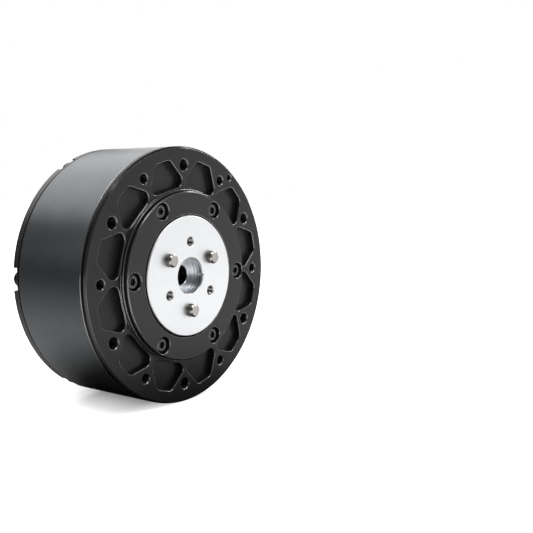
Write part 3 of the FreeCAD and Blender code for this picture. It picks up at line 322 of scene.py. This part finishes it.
def contact_metal(name):
    """Gold on the raised contacts only; the strip that carries them is brown resin."""
    paint = Paint(name)
    contact_height = 0.04 * MM
    raised = paint.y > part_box("contact_pads")[1].y - contact_height
    colour = paint.mix(raised, (0.030, 0.024, 0.016, 1), (1.0, 0.66, 0.20, 1))
    return paint.finish(colour, raised, 0.5 - raised * 0.25)


def faced_disc(name, level, roughness):
    """The output disc: bright rings on its front, duller rings down its bore, a painted highlight on worn
    edges, and painted shade in its deeper holes.
    """
    paint = Paint(name)
    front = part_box("output_flange")[0].y
    radius = paint.axis_radius()
    # Its places by their distance from the axis and their depth under the front.
    in_bore = (radius < 5.75 * MM) * (paint.y > front + 0.2 * MM)
    deep_shade = (radius < 3.2 * MM) * (paint.y > front + 4.5 * MM)
    small_hole_shade = (radius > 6.2 * MM) * (paint.y > front + 0.5 * MM)
    wear_and_glint, rounded = paint.wear_and_glint_edge(0.08 * MM)
    drift = paint.noise(3 * MM, 2.0)
    boring = paint.rings(paint.y, 1.15 * MM)
    facing = paint.rings(radius, 0.11 * MM) * (1 - in_bore)
    colour = paint.mix(drift, grey(level * 0.95, -0.01), grey(level * 1.04, -0.01))
    # Worn edges with a painted highlight: white.
    colour = paint.mix(wear_and_glint * 0.5, colour, grey(1.0))
    bored = paint.mix(boring * 0.5 + 0.5, grey(0.52, -0.03), grey(0.95, -0.03))
    colour = paint.mix(in_bore, colour, bored)
    # Painted shade: the deep bore is painted black and not metal, and the small holes dark grey.
    colour = paint.mix(deep_shade, colour, grey(0.006))
    colour = paint.mix(small_hole_shade, colour, grey(0.05))
    rough = roughness + (drift - 0.5) * 0.08 + facing * 0.02 - in_bore * 0.12
    return paint.finish(colour, 1 - deep_shade, rough, facing * drift, 0.0012 * MM, rounded)


def ground_metal(name, colour, roughness, sides=1.0):
    """Ground or drawn metal: short fine scratches along the axis, and painted shade on walls that face across
    the axis, which take a darker tone times the given share.
    """
    paint = Paint(name)
    stretch = (1.0, 0.15, 1.0)
    along = paint.node("ShaderNodeVectorMath", {"operation": "MULTIPLY"}, {0: paint.place, 1: stretch})
    scratches = paint.noise(0.09 * MM, 2.0, 0.6, along)
    patch = paint.noise(1.6 * MM, 2.0)
    dark = darker(colour, 0.82)
    tone = paint.mix(patch, dark, colour)
    # Painted shade on walls that face across the axis: a darker tone.
    side = paint.facing_y.absolute() < 0.4
    tone = paint.mix(side, tone, darker(dark, sides))
    return paint.finish(tone, 1.0, roughness + (scratches - 0.5) * 0.12, scratches, 0.0012 * MM)


def moulded(name, colour, roughness):
    """Moulded plastic or laminate: a faint even texture and slight mottling."""
    paint = Paint(name)
    mottle = paint.noise(1.2 * MM)
    texture = paint.noise(0.12 * MM, 2.0)
    tone = paint.mix(mottle, darker(colour, 0.88), colour)
    return paint.finish(tone, 0.0, roughness + (mottle - 0.5) * 0.1, texture, 0.003 * MM)


def layered(name, level):
    """Electrical steel sheet stacked along the axis."""
    paint = Paint(name)
    sheets = paint.rings(paint.y, 0.35 * MM)
    colour = paint.mix(sheets * 0.5 + 0.5, grey(level * 0.7), grey(level))
    return paint.finish(colour, 0.9, 0.45 + sheets * 0.03, sheets, 0.01 * MM)


def wound_copper(name):
    """Enamelled wire laid side by side."""
    paint = Paint(name)
    turns = paint.rings(paint.y, 0.45 * MM)
    colour = paint.mix(turns * 0.5 + 0.5, (0.30, 0.09, 0.02, 1), (0.72, 0.28, 0.09, 1))
    return paint.finish(colour, 0.9, 0.3 + paint.noise(0.8 * MM) * 0.1, turns, 0.05 * MM)


def printed_cap(name, level, roughness):
    """The cap's black finish with its white marks, a scale beside the window and a rule over the sockets, and
    worn edges and chamfers with a painted highlight.
    """
    paint = Paint(name)
    window_low, window_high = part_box("contact_block")
    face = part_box("electronics_cap")[1].y
    up = -Vector((window_low.x + window_high.x, 0, window_low.z + window_high.z)).normalized()
    right = Vector((0, -1, 0)).cross(up)
    across = paint.x * right.x + paint.z * right.z
    upwards = paint.x * up.x + paint.z * up.z

    # Bars of ink: left, right, low and high edge, in millimetres from the axis.
    bars = [(-5.1, -3.8, -6.05, -5.75), (-5.1, -3.8, -12.55, -12.25)]  # the scale's two ends
    bars += [(-4.5, -4.1, row - 0.2, row + 0.2) for row in (-7.2, -8.5, -9.8, -11.1)]  # its four steps
    bars += [(-15.6, 13.6, -22.5, -22.2)]  # the rule
    bars += [(column - 0.13, column + 0.13, -25.6, -22.4) for column in (-7.8, 4.7)]  # its two dividers
    ink = None
    for left_edge, right_edge, low_edge, high_edge in bars:
        inside = (across > left_edge * MM) * (across < right_edge * MM)
        inside = inside * (upwards > low_edge * MM) * (upwards < high_edge * MM)
        ink = ink.at_least(inside) if ink else inside
    ink = ink * (paint.y > face - 0.05 * MM)

    # Worn edges and chamfers with a painted highlight: a lighter grey.
    wear_and_glint, rounded = paint.wear_and_glint_edge(0.10 * MM)
    chamfer = paint.chamfer()
    wear_and_glint = wear_and_glint.at_least(chamfer * CHAMFER_GLINT)
    cloud = paint.noise(7 * MM, 2.0)
    colour = paint.mix(cloud, grey(level * 0.86, -0.01), grey(level * 1.14, -0.01))
    colour = paint.mix(wear_and_glint * 0.7, colour, grey(0.4))
    colour = paint.mix(ink, colour, grey(0.82))
    grain, rough = blasted(paint, roughness, wear_and_glint.at_least(chamfer) * 0.2)
    return paint.finish(colour, 0.55 * (1 - ink), rough, grain, BLAST_DEPTH, rounded)


# What makes the finish of each slot, and what it is given.
slot_makers = {
    # The black flange's rim takes painted shade through dull.
    "black_anodised": (
        anodised,
        {"level": 0.026, "roughness": 0.38, "metallic": 0.5, "edge": 0.18 * MM, "bare_and_glint": 0.55, "sheen": 0.35,
         "wear_and_glint_to": 1.0 * MM, "joint_and_shade": flange_rim_shade},
    ),
    "case_grey": (
        anodised,
        {"level": 0.085, "roughness": 0.34, "metallic": 0.85, "edge": 0.14 * MM, "bare_and_glint": 0.8, "warmth": -0.05,
         "joint_and_shade": case_joint},
    ),
    "black_steel": (
        anodised,
        {"level": 0.05, "roughness": 0.20, "metallic": 0.8, "edge": 0.14 * MM, "bare_and_glint": 0.45},
    ),
    "turned_aluminium": (faced_disc, {"level": 0.85, "roughness": 0.46}),
    "plain_aluminium": (ground_metal, {"colour": grey(0.62), "roughness": 0.35}),
    "ground_steel": (ground_metal, {"colour": (0.40, 0.38, 0.355, 1), "roughness": 0.25, "sides": 0.45}),
    "bearing_steel": (ground_metal, {"colour": grey(0.7), "roughness": 0.12}),
    "magnet_coat": (ground_metal, {"colour": grey(0.55, 0.03), "roughness": 0.25}),
    "bronze": (ground_metal, {"colour": (0.60, 0.38, 0.16, 1), "roughness": 0.4}),
    "gold_plate": (ground_metal, {"colour": (0.95, 0.60, 0.16, 1), "roughness": 0.22}),
    "electrical_steel": (layered, {"level": 0.3}),
    "copper_wire": (wound_copper, {}),
    "board_laminate": (moulded, {"colour": (0.02, 0.11, 0.05, 1), "roughness": 0.4}),
    "chip_black": (moulded, {"colour": grey(0.02), "roughness": 0.5}),
    "contact_grey": (moulded, {"colour": grey(0.16), "roughness": 0.5}),
    "socket_plastic": (moulded, {"colour": (0.72, 0.69, 0.60, 1), "roughness": 0.45}),
}
finish_of_slot = {slot: make(slot, **given) for slot, (make, given) in slot_makers.items()}
finish_of_node = {
    "electronics_cap": printed_cap("printed_cap", level=0.028, roughness=0.40),
    "contact_pads": contact_metal("contact_metal"),
    "rear_cover": anodised(
        "rear_black", level=0.030, roughness=0.36, metallic=0.6, edge=0.12 * MM, bare_and_glint=0.5, sheen=0.45,
        joint_and_shade=case_joint,
    ),
    "bearing_retainer": anodised(
        "retainer_black", level=0.036, roughness=0.40, metallic=0.6, edge=0.22 * MM, bare_and_glint=0.5, sheen=0.4,
        wear_and_glint_to=-1.2 * MM,
    ),
}
slot_of = {part["node"]: part["material_slot"] for part in frame["record"]["subparts"]}
for node_name, thing in frame["nodes"].items():
    thing.data.materials.clear()
    thing.data.materials.append(finish_of_node.get(node_name, finish_of_slot[slot_of[node_name]]))


# ---------------------------------------------------------------- screws and threads


def add(thing):
    bpy.context.scene.collection.objects.link(thing)
    return thing


class Shape(Nodes):
    """A Geometry Nodes tree that puts one shape at every point it is given. Its sizes are named inputs."""

    def __init__(self, name, sizes):
        super().__init__(bpy.data.node_groups.new(name, "GeometryNodeTree"))
        sockets = self.tree.interface
        sockets.new_socket("Geometry", in_out="INPUT", socket_type="NodeSocketGeometry")
        sockets.new_socket("Geometry", in_out="OUTPUT", socket_type="NodeSocketGeometry")
        sockets.new_socket("Finish", in_out="INPUT", socket_type="NodeSocketMaterial")
        for label, value in sizes.items():
            sockets.new_socket(label, in_out="INPUT", socket_type="NodeSocketFloat").default_value = value
        self.start = self.tree.nodes.new("NodeGroupInput")

    def given(self, label):
        return Wire(self, self.start.outputs[label])

    def choice(self, index, values):
        """The value at a place in a list of numbers or wires."""
        made = self.tree.nodes.new("GeometryNodeIndexSwitch")
        made.data_type = "FLOAT"
        while len(made.index_switch_items) < len(values):
            made.index_switch_items.new()
        self.feed(made.inputs["Index"], index)
        for place, value in enumerate(values, start=1):
            self.feed(made.inputs[place], value)
        return Wire(self, made.outputs[0])

    def sheet(self, along, across, bend):
        """A net of points bent into flat facets: bend gives a point's X, Y and Z from its column and row."""
        net = self.node("GeometryNodeMeshGrid", {}, {"Vertices X": along, "Vertices Y": across}, "Mesh")
        index = self.node("GeometryNodeInputIndex", {}, {}, "Index")
        column = ((index + 0.5) / across).whole()
        x, y, z = bend(column, index - column * across)
        place = self.node("ShaderNodeCombineXYZ", {}, {"X": x, "Y": y, "Z": z})
        bent = self.node("GeometryNodeSetPosition", {}, {"Geometry": net, "Position": place})
        joined = self.node("GeometryNodeMergeByDistance", {}, {"Geometry": bent, "Distance": 0.002 * MM})
        return self.node("GeometryNodeSetShadeSmooth", {}, {"Geometry": joined, "Shade Smooth": False})

    def place_at_points(self, sheet, turned=0.0):
        """Puts the sheet at every point, each turned about the axis, and makes them one mesh."""
        angle = self.node("ShaderNodeCombineXYZ", {}, {"Y": turned})
        points = self.node("GeometryNodeMeshToPoints", {}, {"Mesh": self.given("Geometry")})
        instances = {"Points": points, "Instance": sheet, "Rotation": angle}
        set_out = self.node("GeometryNodeInstanceOnPoints", {}, instances)
        real = self.node("GeometryNodeRealizeInstances", {}, {"Geometry": set_out})
        finished = {"Geometry": real, "Material": self.given("Finish")}
        done = self.node("GeometryNodeSetMaterial", {}, finished)
        self.node("NodeGroupOutput", {}, {"Geometry": done})

    def made(self, name, places, sizes, finish):
        """Runs the tree over a set of places and keeps the result as one plain mesh."""
        seeds = bpy.data.meshes.new(name + "_places")
        seeds.from_pydata(places, [], [])
        carrier = add(bpy.data.objects.new(name + "_carrier", seeds))
        modifier = carrier.modifiers.new("made", "NODES")
        modifier.node_group = self.tree
        values = {**sizes, "Finish": finish}
        for item in self.tree.interface.items_tree:
            if item.in_out == "INPUT" and item.name in values:
                modifier[item.identifier] = values[item.name]
        evaluated = carrier.evaluated_get(bpy.context.evaluated_depsgraph_get())
        mesh = bpy.data.meshes.new_from_object(evaluated)
        mesh.name = name
        mesh.materials.clear()
        mesh.materials.append(finish)
        bpy.data.objects.remove(carrier)
        return add(bpy.data.objects.new(name, mesh))


def screw_shape():
    """A cap screw with a dished six-lobed recess, a rounded rim and a plain shank; its head faces -Y."""
    sizes = {"Head": 2.0 * MM, "Height": 1.2 * MM, "Shank": 1.0 * MM, "Length": 5.0 * MM, "Facing": 1.0}
    shape = Shape("lobed_screw", sizes)
    head, height, shank, length, facing = (shape.given(label) for label in sizes)
    lobe = head * 0.50
    rim = head * 0.13
    floor = height * 0.75
    # Rings from the middle of the recess to the tip: radius, depth under the head's face, share of the wave.
    rings = (
        (0.0, floor * 1.08, 0.0),
        (lobe * 0.9, floor, 1.0),
        (lobe * 0.96, floor * 0.9, 1.0),
        (lobe, rim * 0.4, 1.0),
        (lobe * 1.12, 0.0, 0.8),
        (head - rim * 2, 0.0, 0.0),
        (head - rim, rim * 0.13, 0.0),
        (head - rim * 0.3, rim * 0.5, 0.0),
        (head, rim * 1.2, 0.0),
        (head, height, 0.0),
        (shank, height, 0.0),
        (shank, height + length * 0.94, 0.0),
        (shank * 0.7, height + length, 0.0),
        (0.0, height + length, 0.0),
    )
    radii, depths, waves = zip(*rings)
    lobes = 6
    lobe_share = 0.17
    around = 72

    def bend(column, row):
        angle = column * (TURN / around)
        wave = (angle * lobes).cosine() * lobe_share * shape.choice(row, waves)
        radius = shape.choice(row, radii) * (1 + wave)
        return radius * angle.cosine() * facing, shape.choice(row, depths) * facing, radius * angle.sine()

    sheet = shape.sheet(around + 1, len(rings), bend)
    # Sockets 2 and 3 are the least and most of a random number, and output 1 is that number.
    bounds = {2: 0.0, 3: TURN / lobes, "Seed": 4}
    shape.place_at_points(sheet, shape.node("FunctionNodeRandomValue", {"data_type": "FLOAT"}, bounds, 1))
    return shape


def thread_shape():
    """The ridge of a tapped hole, wound up its wall from the mouth inwards."""
    sizes = {"Wall": 1.4 * MM, "Depth": 0.22 * MM, "Pitch": 0.5 * MM}
    shape = Shape("tapped_thread", sizes)
    wall, depth, pitch = (shape.given(label) for label in sizes)
    around = 20
    turns = 8
    ridges = (0.0, 1.0, 0.0)
    sides = (-0.46, 0.0, 0.46)
    start = 0.8

    def bend(column, row):
        angle = column * (TURN / around)
        radius = wall * 0.998 - depth * shape.choice(row, ridges)
        y = pitch * (column * (1 / around) + shape.choice(row, sides) + start)
        return radius * angle.cosine(), y, radius * angle.sine()

    shape.place_at_points(shape.sheet(around * turns + 1, len(ridges), bend))
    return shape


def screw_sets():
    shape = screw_shape()
    # Stem of the nodes' names, how many, the shank's radius, the head's height, and 1 if the head faces -Y.
    families = (
        ("retainer_screw", 6, 0.95 * MM, 1.1 * MM, 1.0),
        ("case_screw", 6, 1.4 * MM, 1.9 * MM, -1.0),
        ("cap_screw", 4, 0.9 * MM, 1.2 * MM, -1.0),
    )
    for stem, count, shank, height, facing in families:
        screws = [f"{stem}_{number}" for number in range(1, count + 1)]
        places = []
        for screw in screws:
            low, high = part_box(screw)
            middle = (low + high) / 2
            places.append((middle.x, low.y if facing > 0 else high.y, middle.z))
        sizes = {"Head": (high.x - low.x) / 2, "Height": height, "Shank": shank, "Facing": facing}
        sizes["Length"] = high.y - low.y - height
        finish = lobed_steel(stem.replace("screw", "steel"), screws[0], facing)
        piece = shape.made(stem + "s", places, sizes, finish)
        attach(piece, "housing")
        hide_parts(*screws)


def angle_of(node):
    low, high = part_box(node)
    return math.atan2(low.z + high.z, low.x + high.x)


def thread_sets():
    shape = thread_shape()
    shaded = ground_metal("thread_shade", grey(0.012), 0.5)
    bright = ground_metal("cut_thread", grey(0.30), 0.22)
    mounts = {mount["name"]: mount for mount in frame["record"]["mounts"]}
    pin = angle_of("dowel_pin_1")
    screw = angle_of("retainer_screw_1")
    on_disc = ("output", "ground_steel")
    on_flange = ("housing", "black_anodised")
    # Name, mount, angle of the first hole, pitch, finish, and the body and slot.
    sets = (
        ("output_threads", "output_holes", pin + TURN / 6, 0.5 * MM, bright, on_disc),
        ("large_threads", "front_bolts_large", screw + TURN / 12, 0.7 * MM, shaded, on_flange),
        ("small_threads", "front_bolts_small", screw, 0.5 * MM, shaded, on_flange),
    )
    for name, mount, first, pitch, finish, (body, slot) in sets:
        dims = mounts[mount]["dims"]
        reach = dims["pcd_mm"] / 2 * MM
        face = mounts[mount]["pos_m"][1]
        angles = [first + TURN * number / dims["count"] for number in range(dims["count"])]
        places = [(reach * math.cos(angle), face, reach * math.sin(angle)) for angle in angles]
        sizes = {"Wall": dims["hole_r_mm"] * MM, "Depth": pitch * 0.4, "Pitch": pitch}
        piece = shape.made(name, places, sizes, finish)
        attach(piece, body)


screw_sets()
thread_sets()


# ---------------------------------------------------------------- studio


def paper_floor():
    """White paper that the camera sees with a painted soft shadow on it, and that the object sees with painted
    shade under it and a painted glowing apron in front of it.
    """
    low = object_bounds()[0]
    bpy.ops.mesh.primitive_circle_add(vertices=96, radius=6, fill_type="NGON", location=(0, 0, low[2]))
    floor = bpy.context.object
    floor.name = "floor"
    paint = Paint("floor_paper")
    seen = paint.node("ShaderNodeLightPath", {}, {}, "Is Camera Ray")

    # The paper's colour: white to the camera; to the object it is painted black underneath as painted shade,
    # and painted dimmer with distance as a painted fall-off of light.
    dark_middle, middle_fade, bright_reach = 0.035, 0.03, 0.09
    spread = (paint.x * paint.x + paint.y * paint.y).root()
    near = ((spread - dark_middle) / middle_fade).clamped()
    far = (bright_reach / spread).at_most(1.0)
    tone = paint.mix(seen, paint.mix(near * far, grey(0.0), grey(0.8)), grey(0.8))

    # The glow: to the camera it is white but for a painted shadow, and to the object it is a painted light, a
    # glowing apron in front of it.
    # The painted shadow fades at its own rate past its rear edge, before its front edge, and to either side.
    rear_edge, front_edge, shift = 0.042, 0.010, 0.004
    behind = (paint.y - rear_edge).at_least(0.0) * 0.8
    before = (front_edge - paint.y).at_least(0.0) * 3.4
    aside = (paint.x + shift) * 1.7
    reach = (aside * aside + behind * behind + before * before).root()
    shadow_core = 0.12
    shadow_reach = 0.050
    white = (reach / shadow_reach + shadow_core).at_most(1.0)
    apron_start, apron_fade = -0.03, 0.04
    apron = ((apron_start - paint.y) / apron_fade).clamped() * 0.85
    glow = paint.mix(apron + (white - apron) * seen, grey(0.0), grey(1.0))
    lit = {"Emission Color": glow, "Emission Strength": 1.0}
    floor.data.materials.append(paint.finish(tone, 0.0, 0.9, others=lit))


def air():
    """White where the camera sees past the floor, and a soft grey for what lights the object."""
    world = bpy.data.worlds.new("studio_air")
    bpy.context.scene.world = world
    world.use_nodes = True
    world.node_tree.nodes.clear()
    made = Nodes(world.node_tree)
    seen = made.node("ShaderNodeLightPath", {}, {}, "Is Camera Ray")
    dim = made.node("ShaderNodeBackground", {}, {"Color": grey(1.0), "Strength": 0.10})
    white = made.node("ShaderNodeBackground", {}, {"Color": grey(1.0), "Strength": 1.0})
    both = made.node("ShaderNodeMixShader", {}, {0: seen, 1: dim, 2: white})
    made.node("ShaderNodeOutputWorld", {}, {"Surface": both})


def ceiling(power, spread, lean):
    """A wide, even light from above, leaning by two angles in degrees."""
    lamp = bpy.data.lights.new("ceiling", "SUN")
    lamp.energy = power
    lamp.angle = math.radians(spread)
    thing = add(bpy.data.objects.new("ceiling", lamp))
    thing.rotation_euler = (math.radians(lean[0]), math.radians(lean[1]), 0)


def softbox(name, place, aim, size, power):
    lamp = bpy.data.lights.new(name, "AREA")
    lamp.shape = "RECTANGLE"
    lamp.size, lamp.size_y = size
    lamp.energy = power
    thing = add(bpy.data.objects.new(name, lamp))
    thing.visible_camera = False
    thing.location = place
    thing.rotation_euler = (Vector(aim) - Vector(place)).to_track_quat("-Z", "Y").to_euler()


def camera(azimuth, elevation, roll, distance, beside, above, lens):
    """A camera that looks along its angles, in degrees, from a place given along its own three axes."""
    a, e, r = (math.radians(turn) for turn in (azimuth, elevation, roll))
    back = Vector((math.sin(a) * math.cos(e), -math.cos(a) * math.cos(e), math.sin(e)))
    level = Vector((math.cos(a), math.sin(a), 0))
    upright = back.cross(level)
    right = level * math.cos(r) + upright * math.sin(r)
    upwards = upright * math.cos(r) - level * math.sin(r)
    place = right * beside + upwards * above + back * distance
    made = bpy.data.cameras.new("camera")
    made.lens = lens
    made.sensor_width = 36
    made.clip_start = 0.005
    thing = add(bpy.data.objects.new("camera", made))
    thing.matrix_world = Matrix.Translation(place) @ Matrix((right, upwards, back)).transposed().to_4x4()
    bpy.context.scene.camera = thing


paper_floor()
air()
bpy.context.scene.view_settings.view_transform = "Standard"
ceiling(power=1.6, spread=50, lean=(-12, -14))
softbox("key", place=(0.04, 0.44, 0.52), aim=(0, 0.02, 0), size=(0.85, 0.5), power=3.3)
softbox("face_light", place=(0.62, -0.46, 0.06), aim=(0, 0, 0), size=(0.45, 0.55), power=0.80)
softbox("rim_light", place=(0.60, 0.48, 0.16), aim=(0, 0.02, 0), size=(0.3, 0.3), power=0.6)
softbox("brow", place=(0.06, -0.38, 0.60), aim=(0, 0, 0), size=(0.5, 0.16), power=1.3)
softbox("chamfer_light", place=(0.60, -0.06, 0.45), aim=(0, 0, 0), size=(0.22, 0.22), power=1.6)
softbox("far_left", place=(-0.62, 0.50, 0.26), aim=(0, 0, 0), size=(0.3, 0.3), power=0.3)
camera(
    azimuth=-53.06,
    elevation=5.19,
    roll=0.21,
    distance=250.8 * MM,
    beside=25.57 * MM,
    above=2.81 * MM,
    lens=54.25,
)
